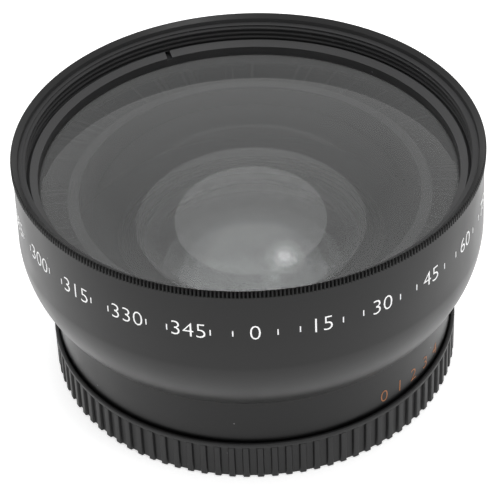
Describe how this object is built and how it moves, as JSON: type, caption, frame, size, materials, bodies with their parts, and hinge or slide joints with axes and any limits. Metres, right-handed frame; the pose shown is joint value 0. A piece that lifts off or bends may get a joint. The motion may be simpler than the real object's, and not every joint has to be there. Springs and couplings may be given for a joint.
{
  "type": "wide-angle conversion lens",
  "caption": "Bell-shaped screw-on wide-angle lens with a filter thread, a knurled rim, a removable close-up section and a ribbed screw-on rear cap.",
  "frame": {"origin": "centre of the rear cap's flat bottom face, on the optical axis", "axes": "+Z along the optical axis, from the rear cap up to the front filter thread; -Y is the side seen in front"},
  "size_m": [0.0654, 0.0654, 0.0362],
  "materials": {
    "black_anodised": "satin black anodised",
    "ring_black": "matte black anodised",
    "cap_plastic": "fine-grained black moulded plastic",
    "lens_glass": "polished, coated"
  },
  "bodies": {
    "root": {"rear_cap": "cap_plastic"},
    "macro_glass": {"macro_lens": "lens_glass"},
    "macro_section": {"macro_barrel": "black_anodised", "macro_retaining_ring": "ring_black"},
    "wide_glass": {"front_lens": "lens_glass", "second_lens": "lens_glass"},
    "wide_section": {"wide_barrel": "black_anodised", "front_retaining_ring": "ring_black", "second_retaining_ring": "ring_black"}
  },
  "joints": [
    {"name": "cap_thread_lift", "type": "slide", "parent": "root", "child": "macro_glass", "axis": [0, 0, 1], "range_m": [0, 0.00338]},
    {"name": "cap_thread_turn", "type": "hinge", "parent": "macro_glass", "child": "macro_section", "pos_m": [0, 0, 0.005], "axis": [0, 0, 1], "range_deg": [0, 1620]},
    {"name": "section_thread_lift", "type": "slide", "parent": "macro_section", "child": "wide_glass", "axis": [0, 0, 1], "range_m": [0, 0.00375]},
    {"name": "section_thread_turn", "type": "hinge", "parent": "wide_glass", "child": "wide_section", "pos_m": [0, 0, 0.0134], "axis": [0, 0, 1], "range_deg": [0, 1800]}
  ],
  "couplings": [
    {"joint": "cap_thread_lift", "follows": "cap_thread_turn", "m_per_rad": 0.00011937},
    {"joint": "section_thread_lift", "follows": "section_thread_turn", "m_per_rad": 0.00011937}
  ]
}
